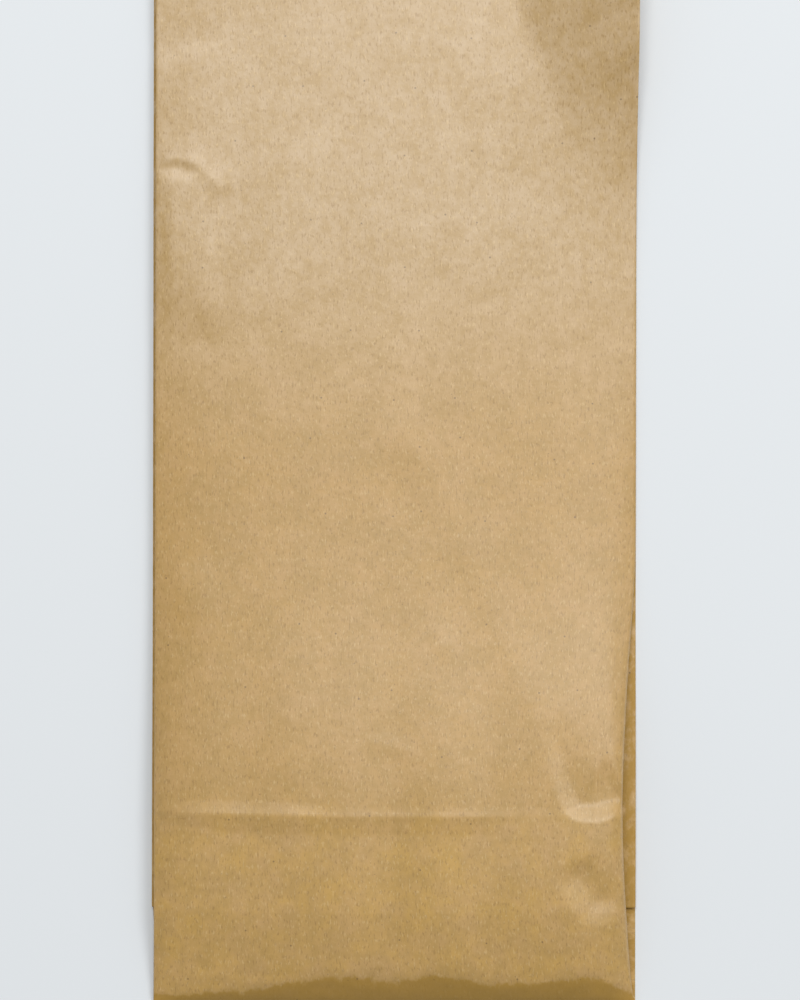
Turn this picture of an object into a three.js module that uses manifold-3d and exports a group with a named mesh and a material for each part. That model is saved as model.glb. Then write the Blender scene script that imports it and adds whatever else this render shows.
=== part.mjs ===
// A brown paper lunch bag, folded flat and lying on its back.
//
// The bag is one sheet of kraft paper: a tube with a gusset in each side, closed at the bottom by
// pasted flaps, so that it opens to a box with a flat base. Folded flat, its gussets are tucked in,
// and its base is turned up behind the back panel. The front panel has lifted a little, as it does
// on a bag that has been filled once.
//
// Millimetres. X runs across the bag, Y from the bottom fold to the mouth, and Z up through the
// layers to the front panel. The origin is the middle of the bag's footprint, on the surface it
// lies on.
import * as THREE from "three";
import { mergeVertices } from "three/addons/utils/BufferGeometryUtils.js";
import Module from "manifold-3d";

// The open bag, measured along its creases.
const WIDTH = 130;
const DEPTH = 51;
const LENGTH = 280;
const PAPER = 0.1; // thickness of the sheet
const OVERLAP = 10; // how far the two base flaps lap over each other
const SEAM_WIDTH = 11; // glued lap that closes the tube, down the middle of the back panel

// How tightly it is folded.
const PITCH = 0.3; // from one pressed layer to the next
const CREASE = 1.2; // distance from a crease to where the sheet lies flat again
const TUCK = 0.7; // how far a crease stays inside another one that wraps round it
const SETTLE = 30; // length over which the back panel comes down from the folded base

// How far the front panel has lifted.
const CROWN = 10.5; // the middle of the panel above the pressed layers
const NOSE = 4.5; // the steep face just above the bottom fold
const LIFT = { left: 3.2, right: 6.5 }; // the panel's side edges above the gussets, where they lift most
const INSET = { left: 0.8, right: 4 }; // the same edges inwards from the edges of the back panel
const PEAK = 53; // height above the bottom fold at which the edges lift most
const LIFT_END = 125; // height above which the edges lie down again
const KEPT = { left: 0.5, right: 0.05 }; // share of the lift that each edge keeps above there
const CORNER = 8; // the right corner of the mouth, which turns up
const CORNER_START = 190; // height above the bottom fold at which it starts to

const HALF_WIDTH = WIDTH / 2;
const HALF_DEPTH = DEPTH / 2;
const FLAP = HALF_DEPTH + OVERLAP / 2;
const BASE = 2.5 * PAPER; // middle of the base layer, above its two glued flaps
const BITE = 0.02; // how far a glued flap runs into the layer that it is glued to
const TOLERANCE = 1e-6;

const { lerp, smoothstep } = THREE.MathUtils;
const near = (a, b) => Math.abs(a - b) < TOLERANCE;
const spaced = (from, to, count) =>
  Array.from({ length: count }, (_, i) => lerp(from, to, i / (count - 1)));

// Where the sheet is divided, measured on the open bag: x across, d from front to back, and v up
// from the base. The lower stations are the same in d and in v, so that the slanting creases run
// from corner to corner of the cells.
const HALF_STATIONS = [0, CREASE, ...spaced(6, 18, 3), HALF_DEPTH - CREASE, HALF_DEPTH];
const D_STATIONS = [...HALF_STATIONS, ...HALF_STATIONS.slice(0, -1).reverse().map((d) => DEPTH - d)];
const V_STATIONS = [
  ...HALF_STATIONS,
  HALF_DEPTH + CREASE,
  ...spaced(30, DEPTH + SETTLE, 9),
  ...spaced(DEPTH + SETTLE + 11, LENGTH, 16),
];
const X_STATIONS = [
  -HALF_WIDTH,
  ...spaced(-HALF_WIDTH + CREASE, -SEAM_WIDTH / 2 - CREASE, 6),
  -SEAM_WIDTH / 2,
  SEAM_WIDTH / 2,
  ...spaced(SEAM_WIDTH / 2 + CREASE, HALF_WIDTH - CREASE, 6),
  HALF_WIDTH,
];

// Share of an edge's greatest lift at height y: nothing at the bottom fold, and all at PEAK.
function liftShare(side, y) {
  return y < PEAK
    ? Math.sin((Math.PI / 2) * (y / PEAK))
    : lerp(1, KEPT[side], smoothstep(y, PEAK, LIFT_END));
}

// How high the right edge turns up towards the mouth.
function cornerLift(y) {
  return CORNER * smoothstep(y, CORNER_START, LENGTH);
}

// How high an edge of the front panel stands above its gusset.
function edgeLift(side, y) {
  return LIFT[side] * liftShare(side, y) + (side === "right" ? cornerLift(y) : 0);
}

// How high the middle of the front panel stands: it rises over the base, and comes down to the mouth.
function crownHeight(y) {
  return CROWN * (1 - Math.exp(-y / 55)) * (1 - 0.95 * smoothstep(y, 95, LENGTH - 10));
}

// Height of a pressed layer, before the front panel lifts. Layer 1 is the front panel and layer 8
// the base, which is turned up behind the rest.
function layerHeight(layer, y) {
  if (layer >= 5) return BASE + (8 - layer) * PITCH;
  const back = lerp(BASE + 4 * PITCH, PAPER / 2, smoothstep(y, DEPTH, DEPTH + SETTLE));
  const stacked = back + (4 - layer) * PITCH;
  const alone = BASE + (4 - layer) * PITCH;
  return layer > 2 ? stacked : lerp(alone, stacked, Math.min(1, y / HALF_DEPTH));
}

// The front panel: it keeps its length and draws its side edges in as it lifts.
function placeFront({ x, v }) {
  const out = x / HALF_WIDTH;
  const across = (out + 1) / 2;
  const [left, right] = [liftShare("left", v), liftShare("right", v)];
  const inset = lerp(INSET.left * left, -INSET.right * right, across);
  const edge = lerp(LIFT.left * left, LIFT.right * right, across) + cornerLift(v) * across ** 2;
  const arch = Math.max(0, crownHeight(v) - edge) * (1 - out ** 2);
  const nose = NOSE * (1 - Math.exp(-v / 4)) * (1 - smoothstep(v, 8, 110)) * (1 - out ** 6);
  return [x + inset, v, layerHeight(1, v) + edge + arch + nose];
}

// The front half of a gusset: it hangs from the lifted edge down to the crease inside the bag.
function placeGussetFront({ x, d, v }) {
  const side = x < 0 ? "left" : "right";
  const crease = Math.min(v, HALF_DEPTH);
  const share = crease > 0 ? 1 - d / crease : 0;
  const out = HALF_WIDTH - d - INSET[side] * liftShare(side, v) * share;
  return [Math.sign(x) * out, v, layerHeight(2, v) + edgeLift(side, v) * share];
}

// The eight layers of the folded bag. Each takes the points of the open bag that it holds, and
// says where they lie when it is folded.
const LAYERS = [
  { name: "front", holds: ({ d }) => near(d, 0), place: placeFront },
  {
    name: "front half of a gusset",
    holds: ({ x, d, v }) => onSide(x) && atMost(d, HALF_DEPTH) && atMost(d, v),
    place: placeGussetFront,
  },
  {
    name: "back half of a gusset",
    holds: ({ x, d, v }) => onSide(x) && atMost(HALF_DEPTH, d) && atMost(HALF_DEPTH, v),
    place: ({ x, d, v }) => [Math.sign(x) * (HALF_WIDTH - (DEPTH - d)), v, layerHeight(3, v)],
  },
  {
    name: "back",
    holds: ({ d, v }) => near(d, DEPTH) && atMost(HALF_DEPTH, v),
    place: ({ x, v }) => [x, Math.max(v, HALF_DEPTH + TUCK), layerHeight(4, v)],
  },
  {
    name: "lower back, turned up",
    holds: ({ d, v }) => near(d, DEPTH) && atMost(v, HALF_DEPTH),
    place: ({ x, v }) => [x, Math.max(DEPTH - v, HALF_DEPTH + TUCK), layerHeight(5, v)],
  },
  {
    name: "lower corner of a gusset",
    holds: ({ x, d, v }) =>
      onSide(x) && atMost(HALF_DEPTH, d) && atMost(DEPTH - d, v) && atMost(v, HALF_DEPTH),
    place: ({ x, d, v }) => [Math.sign(x) * (HALF_WIDTH - (DEPTH - d)), DEPTH - v, layerHeight(6, v)],
  },
  {
    name: "triangle beside the base",
    holds: ({ x, d, v }) => onSide(x) && atMost(v, d) && atMost(v, DEPTH - d),
    place: ({ x, d, v }) => [Math.sign(x) * (HALF_WIDTH - v), d, layerHeight(7, d)],
  },
  {
    name: "base",
    holds: ({ v }) => near(v, 0),
    place: ({ x, d }) => [x, d, layerHeight(8, d)],
  },
];

function onSide(x) {
  return near(Math.abs(x), HALF_WIDTH);
}

function atMost(a, b) {
  return a <= b + TOLERANCE;
}

// A point of the open bag, folded. A point on a crease lies half-way between the layers that meet
// there.
function fold(point) {
  const places = LAYERS.filter((layer) => layer.holds(point)).map((layer) => layer.place(point));
  return [0, 1, 2].map((axis) => places.reduce((sum, place) => sum + place[axis], 0) / places.length);
}

// The sheet's middle surface: every point of the open bag once, folded, and the triangles between
// them, facing outwards.
class Sheet {
  points = [];
  folded = [];
  triangles = [];
  #numbers = new Map();

  number(point) {
    const key = [point.x, point.d, point.v].map((value) => value.toFixed(4)).join();
    if (!this.#numbers.has(key)) {
      this.#numbers.set(key, this.points.length);
      this.points.push(point);
      this.folded.push(fold(point));
    }
    return this.#numbers.get(key);
  }

  // One panel of the open bag, divided into cells at the stations along and up it. A cell on a
  // slanting crease is cut along the crease.
  addPanel(along, up, pointAt) {
    for (let i = 0; i + 1 < along.length; i++)
      for (let j = 0; j + 1 < up.length; j++) {
        const corners = [
          pointAt(along[i], up[j]),
          pointAt(along[i + 1], up[j]),
          pointAt(along[i + 1], up[j + 1]),
          pointAt(along[i], up[j + 1]),
        ];
        const [a, b, c, d] = corners.map((corner) => this.number(corner));
        if (isSlanting(corners[1]) && isSlanting(corners[3])) this.triangles.push(a, b, d, b, c, d);
        else this.triangles.push(a, b, c, a, c, d);
      }
  }
}

// Whether a point is on one of the slanting creases in the lower corners of a gusset.
function isSlanting({ x, d, v }) {
  return onSide(x) && atMost(v, HALF_DEPTH) && (near(v, d) || near(v, DEPTH - d));
}

function foldedSheet() {
  const sheet = new Sheet();
  const xBack = [...X_STATIONS].reverse();
  const dBack = [...D_STATIONS].reverse();
  sheet.addPanel(X_STATIONS, V_STATIONS, (x, v) => ({ x, d: 0, v }));
  sheet.addPanel(D_STATIONS, V_STATIONS, (d, v) => ({ x: HALF_WIDTH, d, v }));
  sheet.addPanel(xBack, V_STATIONS, (x, v) => ({ x, d: DEPTH, v }));
  sheet.addPanel(dBack, V_STATIONS, (d, v) => ({ x: -HALF_WIDTH, d, v }));
  sheet.addPanel(X_STATIONS, dBack, (x, d) => ({ x, d, v: 0 }));
  return sheet;
}

// Thickness inside the middle surface, where the glued lap of the seam adds a second sheet.
function innerThickness({ x, d }) {
  const onSeam = near(d, DEPTH) && atMost(Math.abs(x), SEAM_WIDTH / 2);
  return PAPER / 2 + (onSeam ? PAPER : 0);
}

// The sheet's normals: at each point, the triangles' normals weighted by their angles there, so that
// a crease's normal points straight out of its bend.
function sheetNormals(sheet) {
  const normals = sheet.folded.map(() => new THREE.Vector3());
  const face = new THREE.Triangle();
  const along = new THREE.Vector3();
  const back = new THREE.Vector3();
  for (let t = 0; t < sheet.triangles.length; t += 3) {
    const numbers = sheet.triangles.slice(t, t + 3);
    const corners = numbers.map((i) => new THREE.Vector3(...sheet.folded[i]));
    const normal = face.set(...corners).getNormal(new THREE.Vector3());
    corners.forEach((corner, k) => {
      along.subVectors(corners[(k + 1) % 3], corner);
      back.subVectors(corners[(k + 2) % 3], corner);
      normals[numbers[k]].addScaledVector(normal, along.angleTo(back));
    });
  }
  return normals.map((normal) => normal.normalize());
}

// The edges of the mouth, in the order in which their triangles run.
function mouthEdges(sheet) {
  const edges = [];
  for (let t = 0; t < sheet.triangles.length; t += 3)
    for (let k = 0; k < 3; k++) {
      const from = sheet.triangles[t + k];
      const to = sheet.triangles[t + ((k + 1) % 3)];
      if ([from, to].every((i) => near(sheet.points[i].v, LENGTH))) edges.push([from, to]);
    }
  return edges;
}

// The sheet with its thickness: an outer and an inner skin, closed round the mouth.
function thicken(sheet) {
  const count = sheet.points.length;
  const normals = sheetNormals(sheet);
  const skin = (thickness) =>
    sheet.points.flatMap((point, i) =>
      new THREE.Vector3(...sheet.folded[i]).addScaledVector(normals[i], thickness(point)).toArray(),
    );
  const positions = [...skin(() => PAPER / 2), ...skin((point) => -innerThickness(point))];
  const triangles = [...sheet.triangles];
  for (let t = 0; t < sheet.triangles.length; t += 3) {
    const [a, b, c] = sheet.triangles.slice(t, t + 3);
    triangles.push(count + a, count + c, count + b);
  }
  for (const [from, to] of mouthEdges(sheet))
    triangles.push(to, from, count + from, to, count + from, count + to);
  return new THREE.BufferGeometry()
    .setAttribute("position", new THREE.Float32BufferAttribute(positions, 3))
    .setIndex(triangles);
}

// One pasted flap of the base: a trapezium from the base's long edge at rootY to its free edge,
// with its ends cut at 45 degrees by the corner folds.
function flap(rootY, towards, z) {
  const root = HALF_WIDTH - CREASE;
  const free = HALF_WIDTH - FLAP;
  const outline = new THREE.Shape([
    new THREE.Vector2(-root, rootY + towards * CREASE),
    new THREE.Vector2(root, rootY + towards * CREASE),
    new THREE.Vector2(free, rootY + towards * FLAP),
    new THREE.Vector2(-free, rootY + towards * FLAP),
  ]);
  const plate = new THREE.ExtrudeGeometry(outline, { depth: PAPER + BITE, bevelEnabled: false });
  return plate.translate(0, 0, z);
}

const wasm = await Module();
wasm.setup();

function toSolid(geometry) {
  for (const name of ["normal", "uv"]) geometry.deleteAttribute(name);
  const merged = mergeVertices(geometry, 1e-4);
  return new wasm.Manifold(
    new wasm.Mesh({
      numProp: 3,
      vertProperties: merged.attributes.position.array,
      triVerts: new Uint32Array(merged.index.array),
    }),
  );
}

function toGeometry(solid) {
  const mesh = solid.getMesh();
  const geometry = new THREE.BufferGeometry()
    .setAttribute("position", new THREE.BufferAttribute(mesh.vertProperties, 3))
    .setIndex(new THREE.BufferAttribute(mesh.triVerts, 1));
  geometry.computeVertexNormals();
  return geometry;
}

const bagSolid = toSolid(thicken(foldedSheet()))
  .add(toSolid(flap(0, 1, PAPER)))
  .add(toSolid(flap(DEPTH, -1, 0)));

const kraftPaper = new THREE.MeshStandardMaterial({ color: 0xc8a579, roughness: 0.8, metalness: 0 });
const bag = new THREE.Mesh(toGeometry(bagSolid), kraftPaper);
bag.name = "paper_bag";
bag.position.y = -LENGTH / 2;

const root = new THREE.Group();
root.add(bag);
export default root;
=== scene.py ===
"""A brown paper lunch bag, folded flat and lying on its back on a pale studio floor.

The bag starts as an open box of paper. It is creased along the lines that a flat-bottomed bag
folds on, folded flat with its gussets tucked in and its base turned up behind, and given the
thickness of kraft paper. X runs across the bag, Y from the bottom fold to the mouth, and Z up through
the layers to the front panel. Lengths are in metres, apart from the creases', which are in millimetres.
"""

import math
from dataclasses import dataclass

import bmesh
import bpy
from bpy.props import FloatProperty, FloatVectorProperty, PointerProperty
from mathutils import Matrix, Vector, noise


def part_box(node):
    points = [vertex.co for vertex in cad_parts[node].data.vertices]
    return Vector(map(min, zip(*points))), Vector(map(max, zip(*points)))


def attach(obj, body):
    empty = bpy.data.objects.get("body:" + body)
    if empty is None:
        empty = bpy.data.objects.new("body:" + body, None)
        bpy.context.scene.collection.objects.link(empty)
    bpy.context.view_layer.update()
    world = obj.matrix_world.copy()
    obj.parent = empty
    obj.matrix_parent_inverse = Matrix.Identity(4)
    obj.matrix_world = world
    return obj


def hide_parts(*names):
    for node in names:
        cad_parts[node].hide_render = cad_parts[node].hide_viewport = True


bl_info = {
    "name": "Paper lunch bag",
    "version": (1, 0, 0),
    "blender": (4, 5, 0),
    "location": "3D View > Sidebar > Paper Bag",
    "description": "Folds a brown paper lunch bag flat and sets it on a pale studio floor",
    "category": "Mesh",
}

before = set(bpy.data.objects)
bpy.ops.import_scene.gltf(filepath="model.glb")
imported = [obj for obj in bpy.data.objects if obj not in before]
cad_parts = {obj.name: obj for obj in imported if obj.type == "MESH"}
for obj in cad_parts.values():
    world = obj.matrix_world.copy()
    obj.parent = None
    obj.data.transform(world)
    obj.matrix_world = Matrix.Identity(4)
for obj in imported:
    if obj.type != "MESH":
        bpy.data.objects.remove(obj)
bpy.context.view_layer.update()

NODE = "paper_bag"
PIECE = "kraft_paper_bag"
MM = 0.001
BAG_LOW, BAG_HIGH = (Vector(corner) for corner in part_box(NODE))


def length_property(name, description, default):
    return FloatProperty(name=name, description=description, default=default, unit="LENGTH", precision=5)


def colour_property(name, description, default):
    return FloatVectorProperty(
        name=name, description=description, default=default, subtype="COLOR", size=3, min=0, max=1
    )


class BagSizes(bpy.types.PropertyGroup):
    """The open bag, measured along its creases, and how tightly it is folded."""

    width: length_property("Width", "Width of the front panel", round(BAG_HIGH.x - BAG_LOW.x, 3))
    depth: length_property("Depth", "Depth of the base and of each gusset", 51 * MM)
    length: length_property("Length", "From the bottom fold to the mouth", 280 * MM)
    paper: length_property("Paper", "Thickness of the sheet", 0.1 * MM)
    pitch: length_property("Pitch", "From one pressed layer to the next", 0.3 * MM)
    overlap: length_property("Overlap", "How far the two base flaps lap over each other", 10 * MM)
    seam: length_property("Seam", "Width of the glued lap down the back panel", 11 * MM)
    bend: length_property("Bend", "Half the length of paper in a fold's round bend", 0.35 * MM)
    tuck: length_property("Tuck", "How far a fold stays inside one that wraps round it", 0.8 * MM)


class BagLift(bpy.types.PropertyGroup):
    """How far the front panel has lifted, as it does on a bag that has been filled once."""

    crown: length_property("Crown", "The middle of the panel above the pressed layers", 10.5 * MM)
    left: length_property("Left lift", "The left edge above its gusset", 2.2 * MM)
    right: length_property("Right lift", "The right edge above its gusset", 5.0 * MM)
    shoulder: length_property("Shoulder", "The right edge near the mouth above its gusset", 3.6 * MM)
    inset_left: length_property("Left inset", "The left edge inwards from the back panel's", 0.8 * MM)
    inset_right: length_property("Right inset", "The right edge inwards from the back panel's", 4.0 * MM)
    trim: length_property("Trim", "The base's left edge inwards from the back panel's", 0.5 * MM)
    peak: length_property("Peak", "Height above the bottom fold where the edges lift most", 53 * MM)
    lift_end: length_property("Lift end", "Height above which the edges lie down again", 125 * MM)
    roll: length_property("Roll", "Radius that the right edge of the panel rolls over with", 1.5 * MM)
    wrinkle: length_property("Wrinkle", "Height of the small random waves in the paper", 0.09 * MM)


class KraftLook(bpy.types.PropertyGroup):
    """The finish of the paper."""

    paper: colour_property("Paper", "The paper's main colour", (0.486, 0.294, 0.089))
    rosy: colour_property("Rosy", "Its rosier blotches", (0.492, 0.302, 0.110))
    olive: colour_property("Olive", "Its greener, darker blotches", (0.390, 0.238, 0.062))
    dark_fibre: colour_property("Dark fibre", "The darker fibres in it", (0.30, 0.17, 0.045))
    pale_fibre: colour_property("Pale fibre", "The paler fibres in it", (0.62, 0.44, 0.20))
    # Painted shade: a darker colour for the shade on the steep face above the bottom fold and inside the
    # gussets
    painted_shade: colour_property("Painted shade", "The darkened paper along the bottom fold", (0.37, 0.218, 0.046))
    # Painted light: a lighter, more golden colour near the bottom fold, where the paper slopes away from
    # the light
    painted_bottom_light: colour_property("Painted bottom light", "The paper near the bottom fold", (0.515, 0.310, 0.073))
    # Painted sheen: a pale, pinkish colour near the mouth for the light that the paper reflects there
    painted_sheen: colour_property("Painted sheen", "The paper near the mouth", (0.500, 0.370, 0.215))
    speck: colour_property("Speck", "The specks of bark", (0.10, 0.055, 0.02))


class StageLook(bpy.types.PropertyGroup):
    """The floor, the lights and the camera."""

    floor: colour_property("Floor", "The floor's colour", (0.70, 0.730, 0.752))
    sky: colour_property("Fill colour", "Colour of the light from all round", (1.0, 1.0, 1.0))
    fill: FloatProperty(name="Fill", description="Strength of the light from all round", default=0.35)
    key: FloatProperty(name="Key", description="Power of the main light", default=39.6, unit="POWER")
    side: FloatProperty(
        name="Side", description="Power of the light from the right", default=24.0, unit="POWER"
    )
    light_distance: length_property("Light distance", "From the bag to each light", 2.6)
    light_size: length_property("Light size", "Side of each square soft light", 1.2)
    camera_height: length_property("Camera height", "Camera above the floor", 0.85)
    view_height: length_property("View height", "Length of floor that the picture takes in", 0.2686)


# --- The open bag ---------------------------------------------------------------------------------
# A place on the open bag is (panel, a, b). On the front and back panels a is measured across from
# the middle and b up from the base. On the gussets, named right and left, a is the depth from the
# front. On the base a is measured across and b from front to back.


def evenly(start, end, step):
    """Places from start to end, both included, about a step apart."""
    count = max(1, round((end - start) / step))
    return [start + (end - start) * i / count for i in range(count + 1)]


def joined(*runs):
    """The runs one after another, with each place that two of them share given once."""
    places = []
    for run in runs:
        places += [place for place in run if not places or place - places[-1] > 1e-6]
    return places


def smooth(start, end, value):
    """0 up to start, 1 from end on, and a smooth rise between them."""
    t = min(1, max(0, (value - start) / (end - start)))
    return t * t * (3 - 2 * t)


def mix(a, b, share):
    return a + (b - a) * share


def above(value, soft):
    """The value where it is above 0 and nothing below, with a bend between that is so soft."""
    return (value + math.hypot(value, soft)) / 2


PANELS = ("front", "right", "back", "left", "base")
FAR = 1  # further than any two places of the bag are apart


class OpenBag:
    """The bag as a box: where its panels are divided, and how they meet."""

    def __init__(self, sizes):
        self.sizes = sizes
        self.half = sizes.width / 2
        self.depth = sizes.depth
        self.mid = sizes.depth / 2
        self.flap = self.mid + sizes.overlap / 2
        self.near_mid = [self.mid + sizes.bend * share for share in (-2, -1, -0.5, 0, 0.5, 1, 2)]
        self.across = self.divide_across()
        self.deep = self.divide_deep()
        self.up = self.divide_up()

    @property
    def seam_edge(self):
        return self.sizes.seam / 2

    def divide_across(self):
        """Close together near both edges, where the creases are, and at the lap's edges."""
        bend, seam, crowded = self.sizes.bend, self.seam_edge, 42 * MM
        right = joined(
            evenly(0, seam, 2 * MM),
            [seam + 0.1 * MM],
            evenly(seam + 1 * MM, crowded, 2 * MM),
            evenly(crowded, self.half - 1.1 * MM, 1 * MM),
            [self.half - bend * share for share in (2, 1, 0.5, 0)],
        )
        return [-place for place in reversed(right) if place > 0] + right

    def divide_deep(self):
        """Close together only at the folds, as a gusset and the base are flat between them."""
        bend = self.sizes.bend
        front = joined([0, bend / 2, bend, 3 * bend], evenly(2.5 * MM, self.mid - 1.5 * MM, 5.2 * MM))
        back = [self.depth - d for d in reversed(front)]
        return sorted({*joined(front, self.near_mid, back), self.flap, self.depth - self.flap})

    def divide_up(self):
        """Close together at the folds and where creases run across the front panel."""
        bend = self.sizes.bend
        return joined(
            [0, bend / 2, bend, 2 * bend],  # the bottom fold
            evenly(1.2 * MM, 12 * MM, 0.6 * MM),  # the steep face above it
            evenly(12 * MM, self.mid - 1.2 * MM, 1.4 * MM),
            self.near_mid,  # the fold that turns the base up
            evenly(self.mid + 1.4 * MM, 45 * MM, 1.4 * MM),
            evenly(45 * MM, 57 * MM, 0.6 * MM),  # the base's edge, showing through
            evenly(57 * MM, 80 * MM, 1.2 * MM),  # the pocket at the right
            evenly(80 * MM, 209 * MM, 3 * MM),
            evenly(209 * MM, 229 * MM, 0.8 * MM),  # the crescent at the left
            evenly(229 * MM, self.sizes.length, 3 * MM),
        )

    def corner(self, panel, a, b):
        """The place's corner of the open box: across, from front to back, and up."""
        if panel == "base":
            return Vector((a, b, 0))
        if panel == "front":
            return Vector((a, 0, b))
        if panel == "back":
            return Vector((a, self.depth, b))
        return Vector((self.half if panel == "right" else -self.half, a, b))

    def sheet_place(self, panel, a, b):
        """Where the place lies on the flat sheet, for the paper's grain."""
        if panel == "front":
            return a, b
        if panel == "back":
            return self.half * 2 + self.depth - a, b
        if panel == "right":
            return self.half + a, b
        if panel == "left":
            return -self.half - a, b
        return a, -b

    def rename(self, panel, a, b):
        """The same place, named on the panel that it really lies on once it has run over an edge."""
        half, depth = self.half, self.depth
        if panel in ("front", "back"):
            over = abs(a) - half
            if over > 0:
                side = "right" if a > 0 else "left"
                return self.rename(side, over if panel == "front" else depth - over, b)
            if b < 0:
                return "base", a, -b if panel == "front" else depth + b
            return panel, a, b
        if panel == "base":
            over = abs(a) - half
            if over > 0:
                return "right" if a > 0 else "left", min(depth, max(0, b)), over
            if b < 0:
                return "front", a, -b
            if b > depth:
                return "back", a, b - depth
            return panel, a, b
        sign = 1 if panel == "right" else -1
        if a < 0:
            return self.rename("front", sign * (half + a), b)
        if a > depth:
            return self.rename("back", sign * (half - (a - depth)), b)
        if b < 0:
            return "base", sign * (half + b), a
        return panel, a, b

    def crease_distance(self, panel, a, b):
        """How far a place is from the nearest fold."""
        if panel == "front":
            return min(self.half - abs(a), b)
        if panel == "back":
            return min(self.half - abs(a), b, abs(b - self.mid))
        if panel == "base":
            return min(self.half - abs(a), b, self.depth - b)
        past = 1 * MM
        slant = min(abs(b - a), abs(b - (self.depth - a))) / math.sqrt(2) if b < self.mid + past else FAR
        middle = abs(a - self.mid) if b > self.mid - past else FAR
        level = abs(b - self.mid) if a > self.mid - past else FAR
        return min(a, self.depth - a, b, slant, middle, level)


# --- The front panel ------------------------------------------------------------------------------


@dataclass(frozen=True)
class Crease:
    """A line pressed into the front panel, along a path of (across, up) places in millimetres.

    The paper stands up by lip along the line, and comes down over left and right, its two flanks,
    which are straight when curl is 1 and hollow when it is more. A hollow may lie along the right:
    it falls by drop over fall, and comes back over rise. Left and right are as seen going along
    the path. Turn is the slope at which all the paper on the right turns up, over a bend that gets
    sharper along the path. The crease fades in over fade at its start and out over tail at its end.
    Heights and widths are in millimetres.
    """

    TURN_REACH = 60
    SOFT_BEND, SHARP_BEND = 12, 1

    path: tuple
    lip: float = 0.0
    left: float = 3.0
    right: float = 3.0
    curl: float = 2.0
    drop: float = 0.0
    fall: float = 3.0
    rise: float = 10.0
    turn: float = 0.0
    fade: float = 6.0
    tail: float = 6.0

    def reach(self):
        return max(self.left, self.right, self.fall + self.rise, self.TURN_REACH if self.turn else 0)

    def height(self, x, y):
        reach = self.reach()
        xs, ys = zip(*self.path)
        if not (min(xs) - reach < x < max(xs) + reach and min(ys) - reach < y < max(ys) + reach):
            return 0.0
        distance, along, total = self.measure(x, y)
        share = smooth(0, self.fade, along) * smooth(0, self.tail, total - along)
        side = self.left if distance < 0 else self.right
        height = self.lip * max(0, 1 - abs(distance) / side) ** self.curl
        if 0 < distance < self.fall:
            height -= self.drop * distance / self.fall
        elif distance >= self.fall:
            height -= self.drop * (1 - smooth(0, self.rise, distance - self.fall))
        if self.turn:
            height += self.turn * above(distance, mix(self.SOFT_BEND, self.SHARP_BEND, along / total))
        return height * share

    def measure(self, x, y):
        """The distance from the path, positive on its right, how far along it, and its length."""
        best = (math.inf, 0.0)
        run = 0.0
        for (x0, y0), (x1, y1) in zip(self.path, self.path[1:]):
            dx, dy = x1 - x0, y1 - y0
            length = math.hypot(dx, dy)
            t = min(1, max(0, ((x - x0) * dx + (y - y0) * dy) / length**2))
            away = math.hypot(x - x0 - t * dx, y - y0 - t * dy)
            if away < abs(best[0]):
                right = dx * (y - y0) - dy * (x - x0) < 0
                best = (away if right else -away, run + t * length)
            run += length
        return best[0], best[1], run


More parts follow.
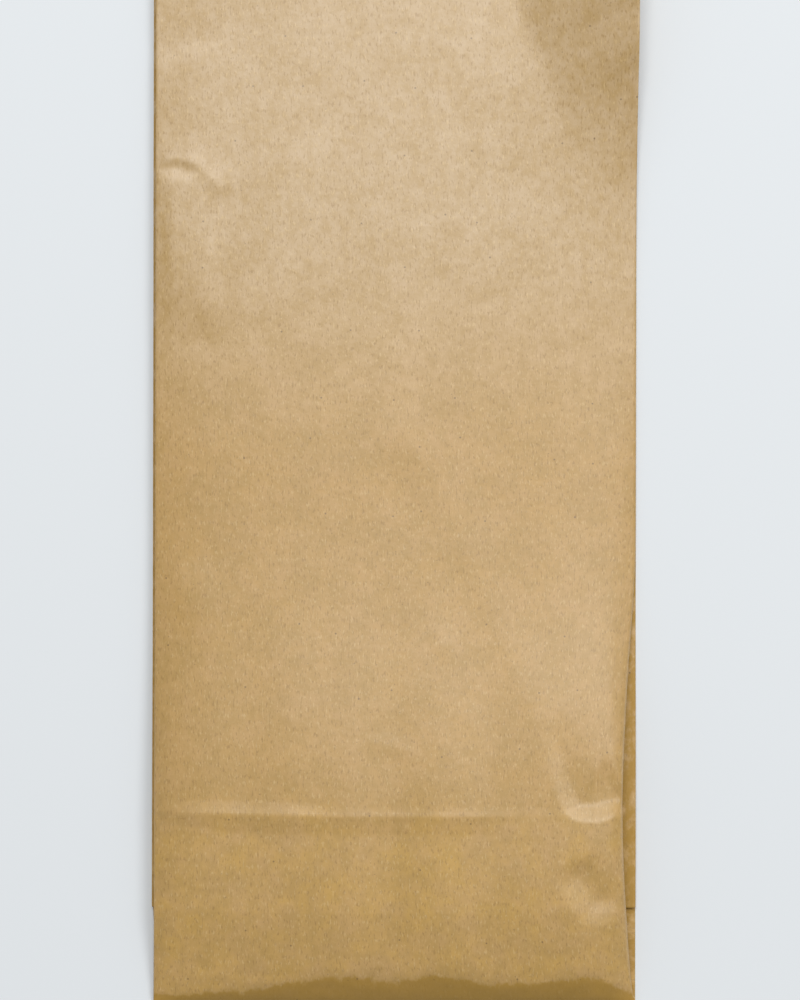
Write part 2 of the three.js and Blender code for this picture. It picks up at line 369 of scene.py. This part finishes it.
CREASES = (
    # The edge of the turned-up base, showing through from behind.
    Crease(((-66, 52.0), (-40, 51.6), (-18, 51.3)), lip=0.32, left=3.4, right=4.9, curl=1.0, fade=8.0),
    Crease(
        ((-66, 51.8), (-30, 51.3), (-10, 51.2), (36, 51.2)),
        lip=0.6, left=30.0, right=4.7, curl=1.0, tail=18.0,
    ),
    Crease(((-24, 51.3), (-10, 51.2), (40, 51.3)), lip=0.06, left=1.1, right=1.1, curl=1.0, tail=16.0),
    Crease(((-64, 47.4), (-54, 47.2), (-45, 46.6)), lip=0.24, left=0.9, right=4.0, fade=4.0),
    # The pocket pressed in at the right, above that edge.
    Crease(
        (
            (63, 52.4), (60, 51.4), (56.1, 50.5), (53.9, 49.8), (50, 49.9), (47.5, 50.5), (45.6, 52.2),
            (44.2, 54.8), (42.2, 59.5), (39, 70), (36, 78),
        ),
        drop=1.5, fall=4.4, rise=18.0, fade=2.5, tail=32.0,
    ),
    # A shallower one below it.
    Crease(
        ((61, 22.4), (56, 22.1), (50, 22.2), (43.3, 32.3), (41, 36)),
        drop=1.3, fall=6.5, rise=9.0, fade=3.0, tail=5.0,
    ),
    # The crescent near the upper left, and the creases down the left edge below and above it.
    Crease(
        ((-63, 224.8), (-58.6, 226.1), (-55, 225.2), (-51, 223)),
        lip=0.28, left=10.0, right=1.6, drop=0.1, fall=2.0, rise=14.0, fade=2.0, tail=5.0,
    ),
    Crease(
        ((-57, 226), (-50.5, 222.6), (-47.6, 219), (-46.6, 214)),
        lip=0.4, left=8.0, right=4.0, fade=4.0,
    ),
    Crease(((-59.6, 224), (-59.6, 181)), lip=0.7, left=14.0, right=5.5, curl=1.0, fade=4.0, tail=12.0),
    Crease(((-60.5, 219.5), (-58.5, 216.2)), lip=0.15, left=1.0, right=1.6, fade=1.2),
    Crease(
        ((-47.5, 206), (-50, 198), (-50.5, 188), (-49.5, 178.8)),
        lip=0.3, left=9.0, right=13.0, fade=12.0,
    ),
    Crease(
        ((-65, 175.2), (-57.4, 177.9), (-52.4, 178.2), (-45.5, 177.6)),
        lip=-0.3, left=3.5, right=6.0, fade=3.0,
    ),
    Crease(((-49.5, 119.6), (-51, 111), (-55.5, 103)), lip=0.15, left=6.0, right=10.0, fade=5.0),
    Crease(((-56, 120), (-58, 99)), lip=0.5, left=12.0, right=6.5, curl=1.0, fade=8.0, tail=8.0),
    Crease(((-66, 253.6), (-57, 256.3), (-45, 260)), lip=-0.32, left=10.0, right=4.5, fade=2.0),
    # The corner at the upper right, which turns up beyond a long soft valley.
    Crease(
        (
            (60, 211), (54.5, 221), (48.8, 231), (43, 242.5),
            (39.8, 252.5), (36.2, 259.5), (33.4, 268.5), (28, 290),
        ),
        lip=-0.35, left=10.0, right=6.0, turn=0.36, fade=62.0, tail=0.01,
    ),
    # Soft waves across the middle.
    Crease(((10, 198.2), (24, 199.5), (36, 197)), lip=0.12, left=5.0, right=10.0, fade=6.0),
    Crease(
        ((47.5, 52), (40.5, 70.6), (26.8, 102), (15, 132.7), (-2, 158.2)),
        lip=0.25, left=10.0, right=14.0, fade=14.0,
    ),
    Crease(((-9, 71.5), (-1, 70.2), (8, 67)), lip=0.15, left=3.5, right=5.0, fade=4.0),
    Crease(((10.4, 102), (13.9, 95.2), (17.6, 90.6)), lip=0.6, left=1.3, right=2.0, fade=2.5),
    # The edge of the outer base flap, very faint.
    Crease(
        ((-62, 22.4), (-20, 22.1), (-4, 21.1), (14, 21.8), (40, 21.8), (60, 22.0)),
        lip=0.07, left=1.4, right=1.0,
    ),
    # The crumpled corners of the bottom fold.
    Crease(((-66, 2.4), (-62, 3.2), (-57.5, 2.4)), lip=0.3, left=1.2, right=1.6, fade=1.5),
    Crease(((56, 8.0), (59, 5.0), (61.5, 2.0)), lip=0.4, left=2.0, right=4.0, fade=1.5),
)

# Where the bottom of the front panel breaks over into its steep lower face: (across, up), in
# millimetres.
BREAK = (
    (-65, 2.6), (-61, 3.3), (-39.5, 4.4), (-26.5, 7.2), (-11, 8.7), (0.5, 7.2), (12, 9.4),
    (17.5, 8.7), (26, 6.3), (40, 7.2), (53, 8.0), (58, 7.5), (61, 5.0), (65, 3.0),
)


def along_line(line, x):
    """How far up a line of (across, up) places is at x."""
    for (x0, y0), (x1, y1) in zip(line, line[1:]):
        if x <= x1:
            return mix(y0, y1, max(0, (x - x0) / (x1 - x0)))
    return line[-1][1]


def wave(x, y, across, up, seed):
    """Random waves between -1 and 1. The larger across and up are, the closer they lie."""
    return noise.noise(Vector((x * across, y * up, seed)))


# How the front panel stands over the layers pressed under it, besides what BagLift says.
LET_DOWN = 0.95  # the share of a lift that is gone again at its far end
LEFT_RISE = 30 * MM  # the left edge comes up over this distance
CROWN_RISE = 55 * MM  # and the crown over about this one
CROWN_TOP = 80 * MM  # from here on the crown goes down to the mouth
CROWN_FALL = 1.2  # by this power of the distance
SHOULDER_UP, SHOULDER_SPREAD = 250 * MM, 30 * MM  # where the right edge's shoulder is, and its reach
SOFT = 2 * MM  # the softness of the bends where one curve takes over from another
STEP_SHARE, STEP, SETTLE = 0.07, 3 * MM, 60 * MM  # how the layers come down past the base's edge
HOLD = 3 * MM  # creases and waves die away within about this distance of the bottom fold

# The steep face above the bottom fold: its slope, the round step at its foot, and the distance that
# it dies away over.
NOSE_SLOPE = 0.6
NOSE_STEP, NOSE_BEND = 1.4 * MM, 1.8 * MM
NOSE_START, NOSE_END = 10 * MM, 140 * MM

# The right edge rolls with its full radius from a share of its lift that is 1 in this many, and is
# inset most where it lifts most.
ROLL_GROWTH = 2.2
INSET_POWER, INSET_LOW = 1.4, 0.3
INSET_FOOT, INSET_START, INSET_END = 4 * MM, 80 * MM, 130 * MM

SEAM_RUN = 9 * MM  # the back panel comes down from the glued lap over this distance
TRIM_BELOW, TRIM_ABOVE = 5 * MM, 4 * MM  # the trim dies away this far round the base's middle
# The share of painted shade inside the gussets, which lie in the shade of the front panel's edge
GUSSET_PAINTED_SHADE = 0.65
PAINTED_SHADE_BELOW, PAINTED_SHADE_ABOVE = 2.2 * MM, 1.6 * MM  # the band of painted shade ends this far round the break


class FoldedBag:
    """Where each place of the open bag lies once the bag is folded flat."""

    def __init__(self, bag, lift):
        self.bag = bag
        self.sizes = bag.sizes
        self.lift = lift
        self.base_height = 2.5 * bag.sizes.paper

    def lift_share(self, y):
        """The right edge's share of its lift: all of it at the peak, and little near the mouth."""
        lift = self.lift
        if y < lift.peak:
            return math.sin(math.pi / 2 * y / lift.peak)
        return 1 - LET_DOWN * smooth(lift.peak, lift.lift_end, y)

    def left_share(self, y):
        """The left edge's share of its lift, which it keeps all the way to the mouth."""
        return smooth(0, LEFT_RISE, y)

    def crown_height(self, y):
        """Height of the panel's middle: up quickly from the bottom fold, and slowly down to the mouth."""
        rise = 1 - math.exp(-y / CROWN_RISE)
        fall = max(0, (y - CROWN_TOP) / (self.sizes.length - CROWN_TOP)) ** CROWN_FALL
        return self.lift.crown * rise * (1 - LET_DOWN * fall)

    def layer_height(self, layer, y):
        """Height of a pressed layer: 1 is the front panel and 8 the base, turned up behind."""
        pitch = self.sizes.pitch
        depth = self.bag.depth
        if layer >= 5:
            return self.base_height + (8 - layer) * pitch
        settled = mix(smooth(depth, depth + SETTLE, y), smooth(depth, depth + STEP, y), STEP_SHARE)
        back = mix(self.base_height + 4 * pitch, self.sizes.paper / 2, settled)
        stacked = back + (4 - layer) * pitch
        alone = self.base_height + (4 - layer) * pitch
        return stacked if layer > 2 else mix(alone, stacked, min(1, y / self.bag.mid))

    def front_height(self, x, y):
        """Height of the front panel, over the pressed layers and the lift, with its creases."""
        lift = self.lift
        out = x / self.bag.half
        share = (out + 1) / 2
        edge = mix(lift.left * self.left_share(y), lift.right * self.lift_share(y), share)
        edge += lift.shoulder * math.exp(-(((y - SHOULDER_UP) / SHOULDER_SPREAD) ** 2)) * share**3
        arch = above(self.crown_height(y) - edge, SOFT) * (1 - 0.6 * out**2 - 0.4 * out**6)
        creases = sum(crease.height(x / MM, y / MM) for crease in CREASES) * MM
        relief = (creases + lift.wrinkle * self.waves(x, y)) * (1 - math.exp(-y / HOLD))
        height = self.layer_height(1, y) + edge + arch + relief
        return height + self.nose(x, y) - self.edge_roll(x, y)

    def waves(self, x, y):
        """Small random waves all over, and closer, higher ones along the bottom fold."""
        crumpled = 3 * (1 - smooth(6 * MM, 16 * MM, y))
        broad, small = wave(x, y, 70, 45, 0.3), wave(x, y, 160, 110, 2.7)
        return broad + 0.5 * small + crumpled * wave(x, y, 190, 300, 5.1)

    def nose(self, x, y):
        """The steep face just above the bottom fold, up to the line where the panel breaks over."""
        over = y - along_line(BREAK, x / MM) * MM
        rise = NOSE_SLOPE * (y - above(over, SOFT)) + NOSE_STEP * (1 - math.exp(-y / NOSE_BEND))
        return rise * (1 - smooth(NOSE_START, NOSE_END, y)) * (1 - abs(x / self.bag.half) ** 10)

    def edge_roll(self, x, y):
        """How far the panel rolls down at its right edge, where the fold is round."""
        radius = self.lift.roll * min(1, ROLL_GROWTH * self.lift_share(y))
        inward = self.bag.half - self.inset(1, y) - x
        if inward >= radius or radius <= 0:
            return 0
        return radius - math.sqrt(max(0, radius**2 - (radius - max(0, inward)) ** 2))

    def inset(self, side, y):
        """How far the front panel's edge lies inwards of the back panel's, on that side."""
        if side > 0:
            share = self.lift_share(y) ** INSET_POWER
            low = INSET_LOW * (1 - math.exp(-y / INSET_FOOT)) * (1 - smooth(INSET_START, INSET_END, y))
            return self.lift.inset_right * mix(low, 1, share)
        return mix(self.lift.trim, self.lift.inset_left, self.left_share(y))

    def trimmed(self, x, y):
        """Across, for the layers of the turned-up base, whose left edge lies a little inwards."""
        share = 1 - smooth(self.bag.mid - TRIM_BELOW, self.bag.mid + TRIM_ABOVE, y)
        return x + self.lift.trim * share * (1 - x / self.bag.half) / 2

    def place(self, panel, a, b):
        bag = self.bag
        if panel == "front":
            share = (a / bag.half + 1) / 2
            x = a + mix(self.inset(-1, b), -self.inset(1, b), share)
            return Vector((x, b, self.front_height(x, b)))
        if panel == "back":
            fold = bag.mid + self.sizes.tuck
            if b >= bag.mid:
                return Vector((a, max(b, fold), self.layer_height(4, b) + self.seam_step(a)))
            return Vector((a, max(bag.depth - b, fold), self.layer_height(5, b)))
        if panel == "base":
            return Vector((self.trimmed(a, b), b, self.layer_height(8, b)))
        return self.place_gusset(1 if panel == "right" else -1, a, b)

    def seam_step(self, x):
        """The back panel rides up by one sheet where it passes under the glued lap."""
        edge = self.bag.seam_edge
        return self.sizes.paper * (1 - smooth(edge, edge + SEAM_RUN, x)) if x > edge else 0

    def place_gusset(self, side, d, v):
        bag = self.bag
        if d <= bag.mid and v >= d:
            return self.place_gusset_front(side, d, v)
        if d >= bag.mid and v >= bag.mid:
            return Vector((side * (bag.half - (bag.depth - d)), v, self.layer_height(3, v)))
        if v >= bag.depth - d:
            return Vector((side * (bag.half - (bag.depth - d)), bag.depth - v, self.layer_height(6, v)))
        return Vector((self.trimmed(side * (bag.half - v), d), d, self.layer_height(7, d)))

    def place_gusset_front(self, side, d, v):
        """The front half of a gusset hangs from the front panel's edge down to the crease inside."""
        bag = self.bag
        crease = min(v, bag.mid)
        share = 1 - d / crease if crease > 0 else 0
        low = self.layer_height(2, v)
        edge_x = bag.half - self.inset(side, v)
        high = self.front_height(side * edge_x, v) - self.sizes.pitch
        return Vector((side * (edge_x - d + self.inset(side, v) * (1 - share)), v, mix(low, high, share)))

    def painted_shade(self, panel, a, b):
        """How much painted shade a place takes: fully below the break, where the steep face turns from the
        light, and in part inside the gussets, which the front panel's edge shades.
        """
        if panel != "front":
            return GUSSET_PAINTED_SHADE if panel in ("right", "left") else 0
        top = along_line(BREAK, a / MM) * MM
        return 1 - smooth(top - PAINTED_SHADE_BELOW, top + PAINTED_SHADE_ABOVE, b)

    def rounded_place(self, panel, a, b):
        """A place near a fold, as the mean of the paper round it, which gives the fold a round bend."""
        bend = self.sizes.bend
        if self.bag.crease_distance(panel, a, b) > bend * 1.01:
            return self.place(panel, a, b)
        total = Vector()
        steps = (-1, -0.5, 0, 0.5, 1)
        for i in steps:
            for j in steps:
                up = b + j * bend
                if panel != "base":
                    up = min(self.sizes.length, up)
                total += self.place(*self.bag.rename(panel, a + i * bend, up))
        return total / len(steps) ** 2


# --- The mesh -------------------------------------------------------------------------------------

PLY_STEP = 1.02  # from one pasted ply to the next, in thicknesses of the sheet
PLY_BEND = 1.6 * MM  # the plies part over this distance from their fold


def add_panel(bm, bag, panel, along, up, layers):
    """One panel of the open bag: a grid, moved onto the places where the panel is divided."""
    grid = bmesh.ops.create_grid(bm, x_segments=len(along) - 1, y_segments=len(up) - 1, size=0.5)
    places = {}
    for vert in grid["verts"]:
        a = along[round((vert.co.x + 0.5) * (len(along) - 1))]
        b = up[round((vert.co.y + 0.5) * (len(up) - 1))]
        places[vert] = (a, b)
    for face in {face for vert in grid["verts"] for face in vert.link_faces}:
        face[layers.panel] = PANELS.index(panel)
        for loop in face.loops:
            loop[layers.sheet].uv = bag.sheet_place(panel, *places[loop.vert])
    for vert, (a, b) in places.items():
        vert.co = bag.corner(panel, a, b)


class Layers:
    """What the mesh remembers: each face's panel and its place on the flat sheet, and each point's
    ply and how much painted shade it takes."""

    def __init__(self, bm):
        self.panel = bm.faces.layers.int.new("panel")
        self.sheet = bm.loops.layers.uv.new("sheet")
        self.ply = bm.verts.layers.int.new("ply")
        self.painted_shade = bm.verts.layers.float.new("painted_shade")


def cut(bm, faces, point, normal):
    """Creases the faces along a plane."""
    geometry = set(faces)
    for face in faces:
        geometry.update(face.edges)
        geometry.update(face.verts)
    bmesh.ops.bisect_plane(bm, geom=list(geometry), dist=1e-7, plane_co=point, plane_no=normal)


def crease_gussets(bm, bag, layers):
    """The slanting creases in the lower corners of the gussets."""
    for panel in ("right", "left"):
        number = PANELS.index(panel)
        for point, slope, front in (((0, 0, 0), -1, True), ((0, bag.depth, 0), 1, False)):
            faces = [
                face
                for face in bm.faces
                if face[layers.panel] == number
                and face.calc_center_median().z < bag.mid
                and (face.calc_center_median().y < bag.mid) == front
            ]
            cut(bm, faces, point, (0, 1, slope))


def paste_flaps(bm, bag, layers):
    """The two base flaps: the base is cut along their outlines, and copied where they lie."""
    for side in (-1, 1):
        for y, slope in ((0, 1), (bag.depth, -1)):
            base = [face for face in bm.faces if face[layers.panel] == PANELS.index("base")]
            faces = [
                face
                for face in base
                if face.calc_center_median().x * side > 0
                and abs(face.calc_center_median().y - y) < bag.flap
                and face.verts[0][layers.ply] == 0
            ]
            cut(bm, faces, (side * bag.half, y, 0), (side, slope, 0))
    for ply, root in ((1, 0), (2, bag.depth)):
        faces = []
        for face in bm.faces:
            centre = face.calc_center_median()
            from_root = abs(centre.y - root)
            inside = from_root < bag.flap and abs(centre.x) < bag.half - from_root
            if face[layers.panel] == PANELS.index("base") and inside and face.verts[0][layers.ply] == 0:
                faces.append(face)
        copy = bmesh.ops.duplicate(bm, geom=faces)
        for part in copy["geom"]:
            if isinstance(part, bmesh.types.BMVert):
                part[layers.ply] = ply


def fold(bm, bag, folded, layers):
    """Moves every point of the open bag to where it lies in the folded one."""
    places = {}
    for vert in bm.verts:
        x, d, v = vert.co
        panel = PANELS[vert.link_faces[0][layers.panel]]
        place = {"front": (x, v), "back": (x, v), "base": (x, d)}.get(panel, (d, v))
        places[vert] = folded.rounded_place(panel, *place)
        # How much painted shade the point takes
        vert[layers.painted_shade] = folded.painted_shade(panel, *place)
        ply = vert[layers.ply]
        if ply:
            root = d if ply == 1 else bag.depth - d
            places[vert].z -= ply * bag.sizes.paper * PLY_STEP * smooth(0, PLY_BEND, root)
    middle = (BAG_LOW.y + BAG_HIGH.y) / 2 - bag.sizes.length / 2
    for vert, place in places.items():
        vert.co = place + Vector((0, middle, BAG_LOW.z))


def bag_mesh(sizes, lift):
    bag = OpenBag(sizes)
    bm = bmesh.new()
    layers = Layers(bm)
    for panel in ("front", "back"):
        add_panel(bm, bag, panel, bag.across, bag.up, layers)
    for panel in ("right", "left"):
        add_panel(bm, bag, panel, bag.deep, bag.up, layers)
    add_panel(bm, bag, "base", bag.across, bag.deep, layers)
    bmesh.ops.remove_doubles(bm, verts=bm.verts, dist=1e-6)
    crease_gussets(bm, bag, layers)
    bmesh.ops.recalc_face_normals(bm, faces=bm.faces)
    paste_flaps(bm, bag, layers)
    fold(bm, bag, FoldedBag(bag, lift), layers)
    mesh = bpy.data.meshes.new(PIECE)
    bm.to_mesh(mesh)
    bm.free()
    for polygon in mesh.polygons:
        polygon.use_smooth = True
    mesh.set_sharp_from_angle(angle=math.radians(80))
    return mesh


class PaperBagFold(bpy.types.Operator):
    """Make the lunch bag: crease it, fold it flat, and give it the finish of kraft paper"""

    bl_idname = "mesh.paper_bag_fold"
    bl_label = "Fold the bag"

    def execute(self, context):
        scene = context.scene
        bag = bpy.data.objects.new(PIECE, bag_mesh(scene.bag_sizes, scene.bag_lift))
        scene.collection.objects.link(bag)
        thickness = bag.modifiers.new("Thickness of the paper", "SOLIDIFY")
        thickness.thickness = scene.bag_sizes.paper
        thickness.offset = 0
        bag.data.materials.append(kraft_material(scene.kraft_look))
        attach(bag, "root")
        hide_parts(NODE)
        return {"FINISHED"}


# --- The finish -----------------------------------------------------------------------------------


class Value:
    """The output of a shader node, so that sums on it can be written as sums."""

    def __init__(self, nodes, socket):
        self.nodes = nodes
        self.socket = socket

    def math(self, operation, *inputs):
        return self.nodes.make("ShaderNodeMath", {"operation": operation}, dict(enumerate(inputs)))

    def __add__(self, other):
        return self.math("ADD", self, other)

    __radd__ = __add__

    def __mul__(self, other):
        return self.math("MULTIPLY", self, other)

    __rmul__ = __mul__

    def __sub__(self, other):
        return self.math("SUBTRACT", self, other)

    def __rsub__(self, other):
        return self.math("SUBTRACT", other, self)

    def __lt__(self, other):
        return self.math("LESS_THAN", self, other)

    def ramp(self, start, end):
        """0 up to start, 1 from end on, and a smooth rise between them."""
        settings = {"interpolation_type": "SMOOTHSTEP"}
        return self.nodes.make("ShaderNodeMapRange", settings, {0: self, 1: start, 2: end})


class Nodes:
    """Makes the nodes of one material."""

    def __init__(self, material):
        material.use_nodes = True
        self.tree = material.node_tree
        self.tree.nodes.clear()

    def make(self, kind, settings=None, inputs=None, output=0):
        """A node of that type, with its settings made first and then its inputs, as its output."""
        node = self.tree.nodes.new(kind)
        for name, setting in (settings or {}).items():
            setattr(node, name, setting)
        for name, given in (inputs or {}).items():
            if isinstance(given, Value):
                self.tree.links.new(given.socket, node.inputs[name])
            else:
                node.inputs[name].default_value = given
        return None if output is None else Value(self, node.outputs[output])

    def make_output(self, shader):
        self.make("ShaderNodeOutputMaterial", None, {"Surface": shader}, None)

    def noise(self, place, size, detail=2.0, roughness=0.5):
        """Cloudy noise with blotches of about that size, in metres."""
        inputs = {"Vector": place, "Scale": 1 / size, "Detail": detail, "Roughness": roughness}
        return self.make("ShaderNodeTexNoise", {"noise_dimensions": "2D"}, inputs, "Fac")

    def stretch(self, place, x, y):
        """The place, with a pattern on it drawn out by these factors."""
        inputs = {0: place, 1: (1 / x, 1 / y, 1)}
        return self.make("ShaderNodeVectorMath", {"operation": "MULTIPLY"}, inputs)

    def shift(self, place, x, y):
        return self.make("ShaderNodeVectorMath", {"operation": "ADD"}, {0: place, 1: (x, y, 0)})

    def blend(self, share, first, second):
        """Two colours mixed."""
        inputs = {"Factor": share, 6: first, 7: second}
        return self.make("ShaderNodeMix", {"data_type": "RGBA"}, inputs, 2)


def opaque(colour):
    return (*colour, 1)


MATT = {"Roughness": 1.0, "Specular IOR Level": 0.0}

# Distances up the bag, from the bottom fold, over which the paper's colour changes from painted light near
# the fold to plain, and from plain to a painted sheen near the mouth.
PAINTED_LIGHT_TO_PLAIN = (40 * MM, 62 * MM)
PLAIN_TO_PAINTED_SHEEN = (140 * MM, 215 * MM)

# Large specks and small ones: from one to the next, radius, the share of them kept, and strength.
SPECKS = ((16 * MM, 0.34 * MM, 0.5, 0.6), (7 * MM, 0.22 * MM, 0.35, 0.4))


def kraft_material(look):
    """Unprinted brown kraft paper: short fibres along the bag, soft blotches, and specks of bark.

    It has painted light at the bottom, lighter and more golden, and a painted sheen at the mouth, paler
    and pinker. Along the bottom fold and inside the gussets it has painted shade, darker, and is dull.
    """
    material = bpy.data.materials.new("Kraft paper")
    nodes = Nodes(material)
    sheet = nodes.make("ShaderNodeUVMap", {"uv_map": "sheet"}, output="UV")
    grain = nodes.stretch(sheet, 1, 3.2)
    clouds = nodes.noise(sheet, 24 * MM, 3, 0.6).ramp(0.3, 0.7)
    blotches = nodes.noise(nodes.shift(sheet, 0.4, 0.7), 7 * MM, 3, 0.6).ramp(0.32, 0.68)
    drawn = nodes.stretch(sheet, 1, 1.4)
    curds = nodes.noise(nodes.shift(drawn, 0.2, 0.9), 2.4 * MM, 3, 0.62).ramp(0.3, 0.7)
    patches = nodes.noise(nodes.shift(sheet, 0.6, 0.3), 13 * MM, 3, 0.6).ramp(0.36, 0.66)
    dark_fibres = nodes.noise(nodes.shift(grain, 0.31, 0.12), 0.5 * MM, 2).ramp(0.57, 0.74)
    pale_fibres = nodes.noise(nodes.shift(grain, 0.77, 0.45), 0.5 * MM, 2).ramp(0.58, 0.76)
    up = nodes.make("ShaderNodeSeparateXYZ", None, {"Vector": sheet}, "Y")
    # Painted light: lighter and more golden towards the bottom fold
    colour = nodes.blend(up.ramp(*PAINTED_LIGHT_TO_PLAIN), opaque(look.painted_bottom_light), opaque(look.paper))
    colour = nodes.blend(blotches * 0.6 + clouds * 0.4, colour, opaque(look.rosy))
    # Painted sheen: paler and pinker towards the mouth
    colour = nodes.blend(up.ramp(*PLAIN_TO_PAINTED_SHEEN) * 0.7, colour, opaque(look.painted_sheen))
    colour = nodes.blend(curds * 0.42 + patches * 0.32, colour, opaque(look.olive))
    colour = nodes.blend(dark_fibres * 0.6, colour, opaque(look.dark_fibre))
    colour = nodes.blend(pale_fibres * 0.45, colour, opaque(look.pale_fibre))
    # Painted shade: a darker colour where the steep face above the bottom fold turns from the light, and
    # inside the gussets, with a mottled edge
    painted_shade = nodes.make("ShaderNodeAttribute", {"attribute_name": "painted_shade"}, output="Fac")
    mottle = curds * 0.5 + blotches * 0.5 - 0.5
    painted_shade_mask = (painted_shade + mottle * 0.6).ramp(0.3, 0.8)
    colour = nodes.blend(painted_shade_mask * 0.75, colour, opaque(look.painted_shade))
    for spacing, radius, kept, strength in SPECKS:
        dots = specks(nodes, sheet, spacing, radius, kept)
        colour = nodes.blend(dots * strength, colour, opaque(look.speck))
    relief = curds * 0.6 + (pale_fibres - dark_fibres) * 0.3 + blotches
    bump = nodes.make("ShaderNodeBump", None, {"Strength": 0.2, "Distance": 0.12 * MM, "Height": relief})
    finish = {
        "Base Color": colour,
        "Roughness": 0.42 + 0.05 * clouds,
        "IOR": 1.6,
        "Specular IOR Level": 0.7,
        "Normal": bump,
    }
    sheen = nodes.make("ShaderNodeBsdfPrincipled", None, finish)
    dull = nodes.make("ShaderNodeBsdfPrincipled", None, {**finish, **MATT})
    # The painted shade's mask also mixes in the dull, matte paper
    nodes.make_output(nodes.make("ShaderNodeMixShader", None, {0: painted_shade_mask * 0.8, 1: sheen, 2: dull}))
    return material


def specks(nodes, sheet, spacing, radius, kept):
    """Round specks, at most one to each square of that spacing, with a share of them kept."""
    settings = {"voronoi_dimensions": "2D", "feature": "F1"}
    inputs = {"Vector": sheet, "Scale": 1 / spacing, "Randomness": 1.0}
    distance = nodes.make("ShaderNodeTexVoronoi", settings, inputs, "Distance")
    chance = nodes.make("ShaderNodeTexVoronoi", settings, inputs, "Color")
    size = radius / spacing
    return (1 - distance.ramp(size * 0.4, size)) * (chance < kept)


# --- The stage ------------------------------------------------------------------------------------

FLOOR_REACH = 6  # from the middle of the floor to its edges
KEY_LIGHT = (-6, 61)  # degrees clockwise from the mouth of the bag, and above the floor
SIDE_LIGHT = (62, 53)
CAMERA_OVER = (1.5 * MM, -5.0 * MM)
CAMERA_TURN = 0.1  # degrees


def matte_material(name, colour):
    material = bpy.data.materials.new(name)
    nodes = Nodes(material)
    nodes.make_output(nodes.make("ShaderNodeBsdfPrincipled", None, {"Base Color": opaque(colour), **MATT}))
    return material


def add_floor(scene, colour):
    bm = bmesh.new()
    bmesh.ops.create_grid(bm, x_segments=1, y_segments=1, size=FLOOR_REACH)
    mesh = bpy.data.meshes.new("floor")
    bm.to_mesh(mesh)
    bm.free()
    mesh.materials.append(matte_material("Floor", colour))
    floor = bpy.data.objects.new("floor", mesh)
    scene.collection.objects.link(floor)


def add_light(scene, look, name, power, turn, height):
    """A soft light, so many degrees clockwise from the mouth of the bag and above the floor."""
    light = bpy.data.lights.new(name, "AREA")
    light.size = look.light_size
    light.energy = power
    turn, height = math.radians(turn), math.radians(height)
    level = math.cos(height)
    towards = Vector((level * math.sin(turn), level * math.cos(turn), math.sin(height)))
    lamp = bpy.data.objects.new(name, light)
    lamp.location = towards * look.light_distance
    lamp.rotation_euler = (-towards).to_track_quat("-Z", "Y").to_euler()
    scene.collection.objects.link(lamp)


def add_world(scene, look):
    world = bpy.data.worlds.new("studio")
    world.use_nodes = True
    background = world.node_tree.nodes["Background"]
    background.inputs["Color"].default_value = opaque(look.sky)
    background.inputs["Strength"].default_value = look.fill
    scene.world = world


def add_camera(scene, look):
    """Straight above the bag. The mouth is just past the top of the picture."""
    camera = bpy.data.cameras.new("camera")
    camera.sensor_width = 36
    camera.lens = camera.sensor_width * look.camera_height / look.view_height
    camera.clip_start = 0.01
    stand = bpy.data.objects.new("camera", camera)
    stand.location = (*CAMERA_OVER, look.camera_height)
    stand.rotation_euler.z = math.radians(CAMERA_TURN)
    scene.collection.objects.link(stand)
    scene.camera = stand


class PaperBagStage(bpy.types.Operator):
    """Make the pale floor, the soft studio light and the camera above the bag"""

    bl_idname = "scene.paper_bag_stage"
    bl_label = "Set the stage"

    def execute(self, context):
        scene = context.scene
        look = scene.stage_look
        add_floor(scene, look.floor)
        add_light(scene, look, "key light", look.key, *KEY_LIGHT)
        add_light(scene, look, "side light", look.side, *SIDE_LIGHT)
        add_world(scene, look)
        add_camera(scene, look)
        scene.view_settings.view_transform = "Standard"
        return {"FINISHED"}


class PaperBagPanel(bpy.types.Panel):
    """The bag's sizes and colours, and the buttons that make it"""

    bl_idname = "VIEW3D_PT_paper_bag"
    bl_label = "Paper Bag"
    bl_space_type = "VIEW_3D"
    bl_region_type = "UI"
    bl_category = "Paper Bag"

    def draw(self, context):
        for name, operator in (
            ("bag_sizes", PaperBagFold),
            ("bag_lift", None),
            ("kraft_look", None),
            ("stage_look", PaperBagStage),
        ):
            group = getattr(context.scene, name)
            box = self.layout.box()
            for key in group.__annotations__:
                box.prop(group, key)
            if operator:
                box.operator(operator.bl_idname)


GROUPS = {
    "bag_sizes": BagSizes,
    "bag_lift": BagLift,
    "kraft_look": KraftLook,
    "stage_look": StageLook,
}
OPERATORS = (PaperBagFold, PaperBagStage)


def register():
    for name, group in GROUPS.items():
        bpy.utils.register_class(group)
        setattr(bpy.types.Scene, name, PointerProperty(type=group))
    for kind in (*OPERATORS, PaperBagPanel):
        bpy.utils.register_class(kind)


def unregister():
    for kind in (PaperBagPanel, *reversed(OPERATORS)):
        bpy.utils.unregister_class(kind)
    for name, group in GROUPS.items():
        delattr(bpy.types.Scene, name)
        bpy.utils.unregister_class(group)


def main():
    register()
    bpy.ops.mesh.paper_bag_fold()
    bpy.ops.scene.paper_bag_stage()


if __name__ == "__main__":
    main()
